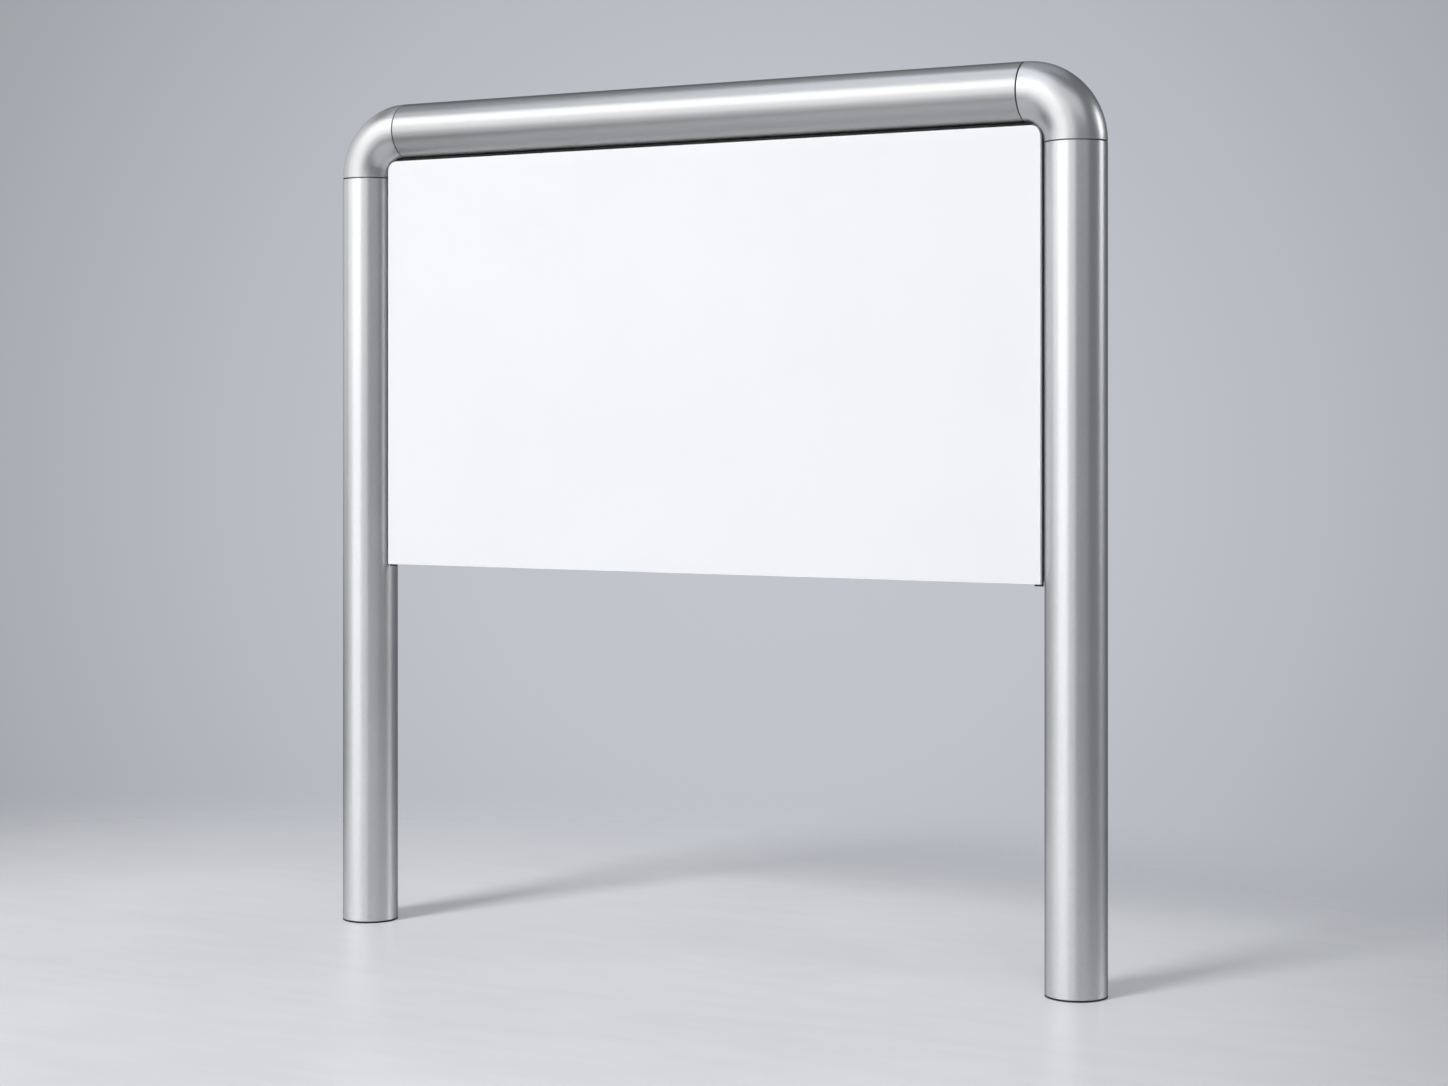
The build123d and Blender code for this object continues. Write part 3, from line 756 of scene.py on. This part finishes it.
@dataclass
class RoundTube:
    """One length of round tube, with broken edges and countersunk holes on its rear line.

    A point of the wall is start + s along + r (cos t rear + sin t side), with t = 0 on the rear
    line.

    Attributes:
        start: The middle of the end that lengths are measured from.
        along: The tube's unit direction.
        length: The tube's length.
        layout: The sizes that it shares.
        holes: Places of its screw holes, measured from the start.
        sink: The recess of each hole.
        around: Points round the tube.
        window: Cells from a hole's axis to each edge of its window in the wall.
        rim_steps: Rings of points from the window to the hole's rim.
        ring_step: Greatest distance between rings, away from the holes.
    """

    start: Array
    along: Array
    length: float
    layout: Layout
    holes: list[float] = field(default_factory=list)
    sink: Countersink = field(default_factory=Countersink)
    around: int = 128
    window: int = 4
    rim_steps: int = 6
    ring_step: float = 30 * MM

    # Decimals of places along the tube, so that equal ones count once
    DECIMALS: ClassVar[int] = 9

    @property
    def side(self) -> Array:
        """The unit direction across the tube, square to the rear."""
        return np.cross(self.along, REAR)

    @property
    def half_window(self) -> float:
        """Half the width of a hole's window, measured round the wall."""
        return self.layout.tube_radius * self.window * TURN / self.around

    def _stations(self) -> Array:
        """Places along the outer wall: even steps between the holes, finer ones over each hole."""
        edge = self.layout.edge_break
        marks = [edge]
        for place in sorted(self.holes):
            marks += [place - self.half_window, place + self.half_window]
        marks.append(self.length - edge)
        lines = []
        for index, (low, high) in enumerate(zip(marks[:-1], marks[1:])):
            over_hole = index % 2 == 1
            even = max(1, round((high - low) / self.ring_step))
            lines.append(np.linspace(low, high, (2 * self.window if over_hole else even) + 1))
        return np.unique(np.round(np.concatenate(lines), self.DECIMALS))

    def _carried(self, places: Array, radii: Array) -> Array:
        """Rings of points round the tube's axis, each at its place and of its radius."""
        rear = np.tile(REAR, (places.size, 1))
        centres = self.start + places[:, None] * self.along
        return carried(centres, rear, self.side, radii, self.around)

    def _hole(self, surface: Surface, place: float) -> None:
        """Adds the wall from a square window of the grid to a hole's rim, and the recess.

        A point on the window's edge is drawn to the rim along its own direction from the hole's
        axis. The wall keeps the tube's curve: its height is the root of r squared minus y squared.

        Args:
            surface: The tube's surface.
            place: The hole's place along the tube.
        """
        radius, sink = self.layout.tube_radius, self.sink
        step = np.linspace(-1.0, 1.0, 2 * self.window + 1)[:-1]
        ones = np.ones(step.size)
        across = np.concatenate([step, ones, -step, -ones])
        down = np.concatenate([-ones, step, ones, -step])
        edge = np.stack([
            self.half_window * across,
            radius * np.sin(down * self.window * TURN / self.around),
        ])
        heading = edge / np.hypot(*edge)
        pull = np.linspace(0.0, 1.0, self.rim_steps)[:, None, None]
        wall = (1 - pull) * edge + pull * sink.rim_radius * heading
        wall_height = np.sqrt(radius**2 - wall[:, 1] ** 2)
        radii = np.array([sink.rim_radius, sink.neck_radius, sink.neck_radius])
        depths = np.array([sink.straight, sink.neck_depth, sink.floor_depth])
        recess = radii[:, None, None] * heading
        recess_height = np.broadcast_to((radius - depths)[:, None], (depths.size, across.size))
        flat = np.concatenate([wall, recess])
        height = np.concatenate([wall_height, recess_height])
        points = (
            self.start
            + place * self.along
            + flat[:, 0, :, None] * self.along
            + flat[:, 1, :, None] * self.side
            + height[:, :, None] * REAR
        )
        surface.grid(points)
        surface.cap(points[-1])

    def surface(self) -> Surface:
        """The whole tube as one closed surface."""
        radius, edge = self.layout.tube_radius, self.layout.edge_break
        bore = radius - self.layout.tube_wall
        made = Surface()
        places = self._stations()
        middle = (places[:-1] + places[1:]) / 2
        near = np.zeros(middle.size, dtype=bool)
        for place in self.holes:
            near |= np.abs(middle - place) < self.half_window
        column = np.arange(self.around)
        behind = (column < self.window) | (column >= self.around - self.window)
        outer = self._carried(places, np.full(places.size, radius))
        made.grid(outer, keep=~(near[:, None] & behind[None, :]))
        for place in self.holes:
            self._hole(made, place)
        end, inside = self.length, self.length - edge
        ends = np.array([inside, end, end, inside, edge, 0.0, 0.0, edge])
        rims = np.array([radius, radius - edge, bore + edge, bore])
        made.grid(self._carried(ends, np.concatenate([rims, rims[::-1]])))
        return made


@dataclass
class TubeFrame:
    """The two posts and the cross tube, three satin tubes that ride on the frame."""

    layout: Layout

    def _screw_places(self, joint: float) -> list[float]:
        """Places of the two elbow screws, measured back from a joint."""
        first = joint - self.layout.screw_inset
        return [first, first - self.layout.screw_pitch]

    def build(self) -> Iterator[bpy.types.Object]:
        """Makes the three tubes, each in place of its CAD node.

        Yields:
            The finished pieces.
        """
        sizes = self.layout
        upright = SATIN_TUBE_UPRIGHT.material()
        level = SATIN_TUBE_LEVEL_SHADED.material()
        length = sizes.elbow_z - sizes.joint_gap - sizes.foot_rim
        holes = [z - sizes.foot_rim for z in self._screw_places(sizes.elbow_z)]
        for label, sign in (("left", -1), ("right", 1)):
            start = np.array([sign * sizes.post_x, 0.0, sizes.foot_rim])
            post = RoundTube(start, UP, length, sizes, holes).surface()
            post = post.piece(f"{label}_post_tube", upright)
            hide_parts(f"{label}_post")
            yield post
        half = sizes.elbow_x - sizes.joint_gap
        places = self._screw_places(sizes.elbow_x)
        holes = [half + x for x in places] + [half - x for x in places]
        start = np.array([-half, 0.0, sizes.tube_height])
        tube = RoundTube(start, RIGHT, 2 * half, sizes, holes).surface()
        tube = tube.piece("cross_tube_round", level)
        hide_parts("cross_tube")
        yield tube


# Elbows

@dataclass
class CastElbows:
    """The two cast bends, each with a spigot at both ends that reaches into the tubes.

    The centre line is a straight, a quarter circle about the bend's centre, and a straight. The
    outer circle's radius steps from the spigot's to the tube's at each shoulder.

    Attributes:
        layout: The sizes that they share.
        wall: Thickness of the casting at the bend.
        spigot: Length of a spigot.
        spigot_radius: Outer radius of a spigot.
        lead: Length and height of the slope at a spigot's tip.
        around: Points round the casting.
        bend_steps: Rings of points along the bend.
    """

    layout: Layout
    wall: float = 8 * MM
    spigot: float = 45 * MM
    spigot_radius: float = 34.9 * MM
    lead: float = 1.5 * MM
    around: int = 128
    bend_steps: int = 48

    def _line(self, sign: int, back: Array, turn: Array) -> tuple[Array, Array]:
        """Points of the centre line and its outward directions.

        Args:
            sign: -1 for the left elbow and 1 for the right.
            back: Distance before the lower shoulder (negative) or past the upper one (positive).
            turn: Angle round the bend, from 0 at the lower shoulder to a quarter turn.

        Returns:
            The centre and the unit outward direction of each point.
        """
        outward = np.stack([sign * np.cos(turn), np.zeros(turn.size), np.sin(turn)], axis=1)
        centre = np.array([sign * self.layout.elbow_x, 0.0, self.layout.elbow_z])
        points = centre + self.layout.bend_radius * outward
        points[:, 2] += np.minimum(back, 0.0)
        points[:, 0] -= sign * np.maximum(back, 0.0)
        return points, outward

    def _surface(self, sign: int) -> Surface:
        """One elbow as a closed surface, its outside and its bore joined at the spigots' ends.

        Args:
            sign: -1 for the left elbow and 1 for the right.

        Returns:
            The surface: the bend in the first finish, the spigots and the bore in the second, a dark
                as-cast finish that also paints the shade in the joint rings.
        """
        sizes = self.layout
        edge = sizes.edge_break
        edge_turn = edge / sizes.bend_radius
        outer, inner = sizes.tube_radius, sizes.tube_radius - self.wall
        tip, root = self.spigot_radius - self.lead, self.spigot_radius
        bend = np.linspace(edge_turn, QUARTER - edge_turn, self.bend_steps)
        low = np.array([-self.spigot, -self.spigot + self.lead, 0.0, 0.0])
        rise = np.array([tip, root, root, outer - edge])
        bore_bend = np.linspace(0.0, QUARTER, self.bend_steps)[::-1]
        back = [low, np.zeros(bend.size), -low[::-1]]
        back += [[self.spigot], np.zeros(bore_bend.size), [-self.spigot]]
        turn = [np.zeros(low.size), bend, np.full(low.size, QUARTER)]
        turn += [[QUARTER], bore_bend, [0.0]]
        radii = [rise, np.full(bend.size, outer), rise[::-1], np.full(bore_bend.size + 2, inner)]
        centres, outward = self._line(sign, np.concatenate(back), np.concatenate(turn))
        rings = carried(centres, outward, REAR, np.concatenate(radii), self.around)
        first, last = low.size - 1, low.size + bend.size
        made = Surface()
        made.grid(rings[first:last + 1])
        made.grid(np.concatenate([rings[last:], rings[:first + 1]]), finish=1)
        return made

    def build(self) -> Iterator[bpy.types.Object]:
        """Makes both elbows, each in place of its CAD node.

        Yields:
            The finished pieces.
        """
        polished, as_cast_shaded = CAST_ALUMINIUM.material(), AS_CAST_SHADED.material()
        for label, sign in (("left", -1), ("right", 1)):
            elbow = self._surface(sign).piece(f"{label}_elbow_casting", polished, as_cast_shaded)
            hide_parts(f"{label}_elbow")
            yield elbow


# Face panel

@dataclass
class FacePanel:
    """The white face, square below and rounded above, with its edges rounded front and back.

    Attributes:
        layout: The sizes that it shares.
        bottom: Height of its lower edge.
        side_gap: Distance between a side and the post's inner line.
        top_gap: Distance between its top and the cross tube's lowest line.
        corner: Radius of the upper corners.
        front: Place of its front along Y.
        thickness: The sheet's thickness.
        front_round: Radius of the front edges.
        back_round: Radius of the rear edges.
        corner_steps: Faces round an upper corner.
        edge_steps: Faces across a rounded edge.
    """

    layout: Layout
    bottom: float = 496 * MM
    side_gap: float = 2.5 * MM
    top_gap: float = 3.5 * MM
    corner: float = 13.5 * MM
    front: float = -14.5 * MM
    thickness: float = 6 * MM
    front_round: float = 0.5 * MM
    back_round: float = 0.4 * MM
    corner_steps: int = 16
    edge_steps: int = 5

    def _outline(self, inset: Array) -> tuple[Array, Array]:
        """The panel's outline, drawn in by each inset.

        The sides are straight, and each upper corner is a quarter circle about a fixed centre,
        its radius less the inset.

        Args:
            inset: How far each outline is drawn in.

        Returns:
            The outlines' x and z, inset by point.
        """
        sizes = self.layout
        half = sizes.post_x - sizes.tube_radius - self.side_gap
        top = sizes.tube_height - sizes.tube_radius - self.top_gap
        turn = np.linspace(0.0, QUARTER, self.corner_steps + 1)
        reach = self.corner - inset[:, None]
        right_x = half - self.corner + reach * np.cos(turn)
        right_z = top - self.corner + reach * np.sin(turn)
        low_x = half - inset[:, None]
        low_z = self.bottom + inset[:, None]
        x = np.concatenate([-low_x, low_x, right_x, -right_x[:, ::-1]], axis=1)
        z = np.concatenate([low_z, low_z, right_z, right_z[:, ::-1]], axis=1)
        return x, z

    def build(self) -> Iterator[bpy.types.Object]:
        """Makes the panel in place of its CAD node.

        Each rounded edge is a quarter circle: the outline is drawn in by radius (1 - sin t) at a
        depth of radius (1 - cos t).

        Yields:
            The finished piece.
        """
        turn = np.linspace(0.0, QUARTER, self.edge_steps + 1)
        inset = 1 - np.sin(turn)
        depth = 1 - np.cos(turn)
        insets = np.concatenate([self.front_round * inset, self.back_round * inset[::-1]])
        front = self.front + self.front_round * depth
        back = self.front + self.thickness - self.back_round * depth[::-1]
        x, z = self._outline(insets)
        y = np.broadcast_to(np.concatenate([front, back])[:, None], x.shape)
        points = np.stack([x, y, z], axis=-1)
        made = Surface()
        made.grid(points)
        made.cap(points[0])
        made.cap(points[-1])
        panel = made.piece("white_face", PANEL_WHITE.material())
        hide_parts("face_panel")
        yield panel


# Pieces that keep their CAD shape

@dataclass
class Hardware:
    """The CAD nodes, each in the finish of its material slot."""

    finishes: dict[str, Finish] = field(default_factory=lambda: {
        "tube_aluminium": SATIN_TUBE_UPRIGHT,
        "cast_aluminium": CAST_ALUMINIUM,
        "rail_aluminium": RAIL_ALUMINIUM,
        "panel_white": PANEL_WHITE,
        "gasket_black": GASKET_RUBBER,
        "nylon_black": NYLON,
        "stainless_steel": STAINLESS,
        "zinc_steel": ZINC,
        "spring_steel": SPRING,
        "brass": BRASS,
    })

    def dress(self, nodes: dict[str, bpy.types.Object]) -> Iterator[bpy.types.Object]:
        """Gives every CAD node the finish of its slot.

        Args:
            nodes: The CAD nodes by name.

        Yields:
            The nodes that show.
        """
        made = {slot: finish.material() for slot, finish in self.finishes.items()}
        for _, node in sorted(nodes.items()):
            for slot in node.material_slots:
                slot.material = made.get(slot.material.name, slot.material)
            if not node.hide_render:
                yield node


# Studio

class Role(Enum):
    """What a lamp is there for."""

    REFLECTED = "seen in the metal only"
    LIGHTING = "lights the pale surfaces only"


# The light of the lamps above the cross tube
COOL: Color = (0.94, 0.985, 1.05)


@dataclass(frozen=True)
class Lamp:
    """One softbox: where it stands as seen from the sign, its size and how bright it looks.

    Angles are in degrees. Azimuth 0 is straight in front of the sign, and 90 to its right. A
    radiance of 1 looks white.
    """

    name: str
    azimuth: float
    elevation: float
    width: float
    height: float
    radiance: float
    distance: float = 12.0
    role: Role = Role.REFLECTED
    color: Color = (1.0, 1.0, 1.0)

    def build(self, target: Array) -> None:
        """Hangs the lamp in its direction from the target, facing it.

        The power of a softbox is pi times its area times its radiance.

        Args:
            target: The point that it faces.
        """
        light = bpy.data.lights.new(self.name, "AREA")
        light.shape = "RECTANGLE"
        light.size = self.width
        light.size_y = self.height
        light.color = self.color
        light.energy = math.pi * self.width * self.height * self.radiance
        turn, rise = math.radians(self.azimuth), math.radians(self.elevation)
        away = np.array([
            math.sin(turn) * math.cos(rise), -math.cos(turn) * math.cos(rise), math.sin(rise)
        ])
        lamp = bpy.data.objects.new(self.name, light)
        lamp.location = target + self.distance * away
        lamp.rotation_euler = Vector(away).to_track_quat("Z", "Y").to_euler()
        lamp.visible_camera = False
        lamp.visible_glossy = self.role is Role.REFLECTED
        lamp.visible_diffuse = self.role is Role.LIGHTING
        bpy.context.scene.collection.objects.link(lamp)


LAMPS = (
    Lamp("key_softbox", azimuth=-28.0, elevation=32.0, width=9.2, height=6.4, radiance=2.65),
    Lamp("low_key_softbox", azimuth=-28.0, elevation=6.5, width=9.2, height=4.0, radiance=1.7),
    Lamp("skirt_softbox", azimuth=-28.0, elevation=-12.0, width=9.2, height=3.6, radiance=0.78),
    Lamp("side_softbox", azimuth=-62.0, elevation=18.0, width=5.0, height=8.8, radiance=1.45),
    Lamp("far_side_softbox", azimuth=-101.0, elevation=16.0, width=10.5, height=8.4, radiance=0.95),
    Lamp("front_softbox", azimuth=8.0, elevation=14.0, width=6.0, height=7.8, radiance=0.95),
    Lamp("right_softbox", azimuth=48.0, elevation=13.0, width=9.0, height=7.4, radiance=0.18),
    Lamp("high_right_softbox", azimuth=36.0, elevation=44.0, width=12.5, height=6.6, radiance=0.8),
    Lamp(
        "top_softbox", azimuth=-34.0, elevation=66.0, width=8.0, height=5.2, radiance=1.35,
        distance=9.0, color=COOL,
    ),
    Lamp(
        "roof_softbox", azimuth=-145.0, elevation=66.0, width=9.0, height=7.4, radiance=0.34,
        distance=9.0, color=COOL,
    ),
    Lamp("rim_strip", azimuth=128.0, elevation=19.0, width=4.2, height=4.6, radiance=3.5),
    Lamp(
        "overhead_fill", azimuth=180.0, elevation=76.0, width=3.2, height=3.2, radiance=1.1,
        distance=3.2, role=Role.LIGHTING,
    ),
    Lamp(
        "right_fill", azimuth=36.0, elevation=24.0, width=2.4, height=3.0, radiance=2.2,
        distance=6.0, role=Role.LIGHTING,
    ),
    Lamp(
        "shadow_key", azimuth=-18.0, elevation=34.0, width=3.2, height=3.2, radiance=34.5,
        role=Role.LIGHTING,
    ),
)


@dataclass
class Studio:
    """A pale floor that fades into a grey backdrop round a painted pool of light, soft lamps and the
    camera.

    Angles are in degrees. The camera's turn is 0 along Y and positive to the left, its lens and
    sensor are in millimetres, and its shift is a share of the picture's width. The glow lies a
    little right of the camera's direction and below the horizon. Its width is the angle at which
    it has fallen to 1 / e, and its power is how abruptly it falls there.
    """

    target: Triple = (0.0, 0.0, 0.7)
    camera_place: Triple = (1.73296, -3.05388, 0.69419)
    camera_turn: float = 29.0163
    lens: float = 67.098
    sensor: float = 36.0
    shift_up: float = -0.08437
    backdrop_far: Color = (0.24, 0.245, 0.26)
    backdrop_near: Color = (0.54, 0.56, 0.61)
    glow_width: float = 19.4
    glow_power: float = 2.6
    glow_right: float = 1.0
    glow_down: float = 1.0
    floor_radius: float = 4.0
    floor_rings: int = 9
    floor_around: int = 96
    lamps: tuple[Lamp, ...] = LAMPS

    def _world(self) -> None:
        """The backdrop: a glow behind the sign, exp of minus a power of angle / width."""
        world = bpy.data.worlds.new("backdrop")
        world.use_nodes = True
        bpy.context.scene.world = world
        shader = Shader(world.node_tree)
        turn, dip = math.radians(self.camera_turn - self.glow_right), math.radians(self.glow_down)
        level = math.cos(dip)
        axis = (-math.sin(turn) * level, math.cos(turn) * level, -math.sin(dip))
        ray = shader.node("ShaderNodeTexCoord", output="Generated")
        ends = {0: ray, 1: axis}
        facing = shader.node("ShaderNodeVectorMath", {"operation": "DOT_PRODUCT"}, ends, "Value")
        angle = facing.math("ARCCOSINE", facing.math("MINIMUM", facing, 1.0))
        glow = math.e ** -((angle / math.radians(self.glow_width)) ** self.glow_power)
        color = shader.blend(glow, self.backdrop_far, self.backdrop_near)
        light = shader.node("ShaderNodeBackground", None, {"Color": color, "Strength": 1.0})
        shader.node("ShaderNodeOutputWorld", None, {"Surface": light})

    def _floor(self) -> None:
        """A flat disc whose paint clears with distance, a painted pool of light: radius (cos t, sin
        t) on the ground.
        """
        radii = np.linspace(0.0, self.floor_radius, self.floor_rings)
        turn = np.arange(self.floor_around) * TURN / self.floor_around
        x = radii[:, None] * np.cos(turn)
        y = radii[:, None] * np.sin(turn)
        made = Surface()
        made.grid(np.stack([x, y, np.zeros_like(x)], axis=-1))
        made.piece("studio_floor", FLOOR_PAINT.material())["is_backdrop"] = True

    def _camera(self) -> None:
        """A level camera at the photograph's place, its lens shifted to frame the whole sign."""
        data = bpy.data.cameras.new("photo_camera")
        data.lens = self.lens
        data.sensor_width = self.sensor
        data.shift_y = self.shift_up
        camera = bpy.data.objects.new("photo_camera", data)
        camera.location = self.camera_place
        camera.rotation_euler = (QUARTER, 0.0, math.radians(self.camera_turn))
        bpy.context.scene.collection.objects.link(camera)
        bpy.context.scene.camera = camera

    def build(self) -> None:
        """Sets up the backdrop, floor, lamps and camera."""
        self._world()
        self._floor()
        for lamp in self.lamps:
            lamp.build(np.array(self.target))
        self._camera()
        bpy.context.scene.view_settings.view_transform = "Standard"


def write_sizes(cad_box: tuple[Vector, Vector], made_box: tuple[Vector, Vector]) -> None:
    """Gathers the CAD model's box and the dressed model's box as plain lists, and keeps nothing."""
    boxes = {"cad": cad_box, "visual": made_box}
    {name: [list(corner) for corner in box] for name, box in boxes.items()}


def main() -> None:
    """Builds the sign around its frame and reports each piece."""
    logging.basicConfig(level=logging.INFO, format="%(name)s: %(message)s")
    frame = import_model()
    cad_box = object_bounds()
    layout = Layout()
    on_frame = {"tube_aluminium": TubeFrame(layout), "cast_aluminium": CastElbows(layout)}
    for slot, assembly in on_frame.items():
        for piece in assembly.build():
            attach(piece, "frame")
            LOG.info("%s rides on the frame, %d faces", piece.name, len(piece.data.polygons))
    for piece in FacePanel(layout).build():
        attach(piece, "panel")
        LOG.info("%s rides on the panel, %d faces", piece.name, len(piece.data.polygons))
    for node in Hardware().dress(frame["nodes"]):
        LOG.info("%s keeps its CAD shape", node.name)
    Studio().build()
    write_sizes(cad_box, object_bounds())


if __name__ == "__main__":
    main()
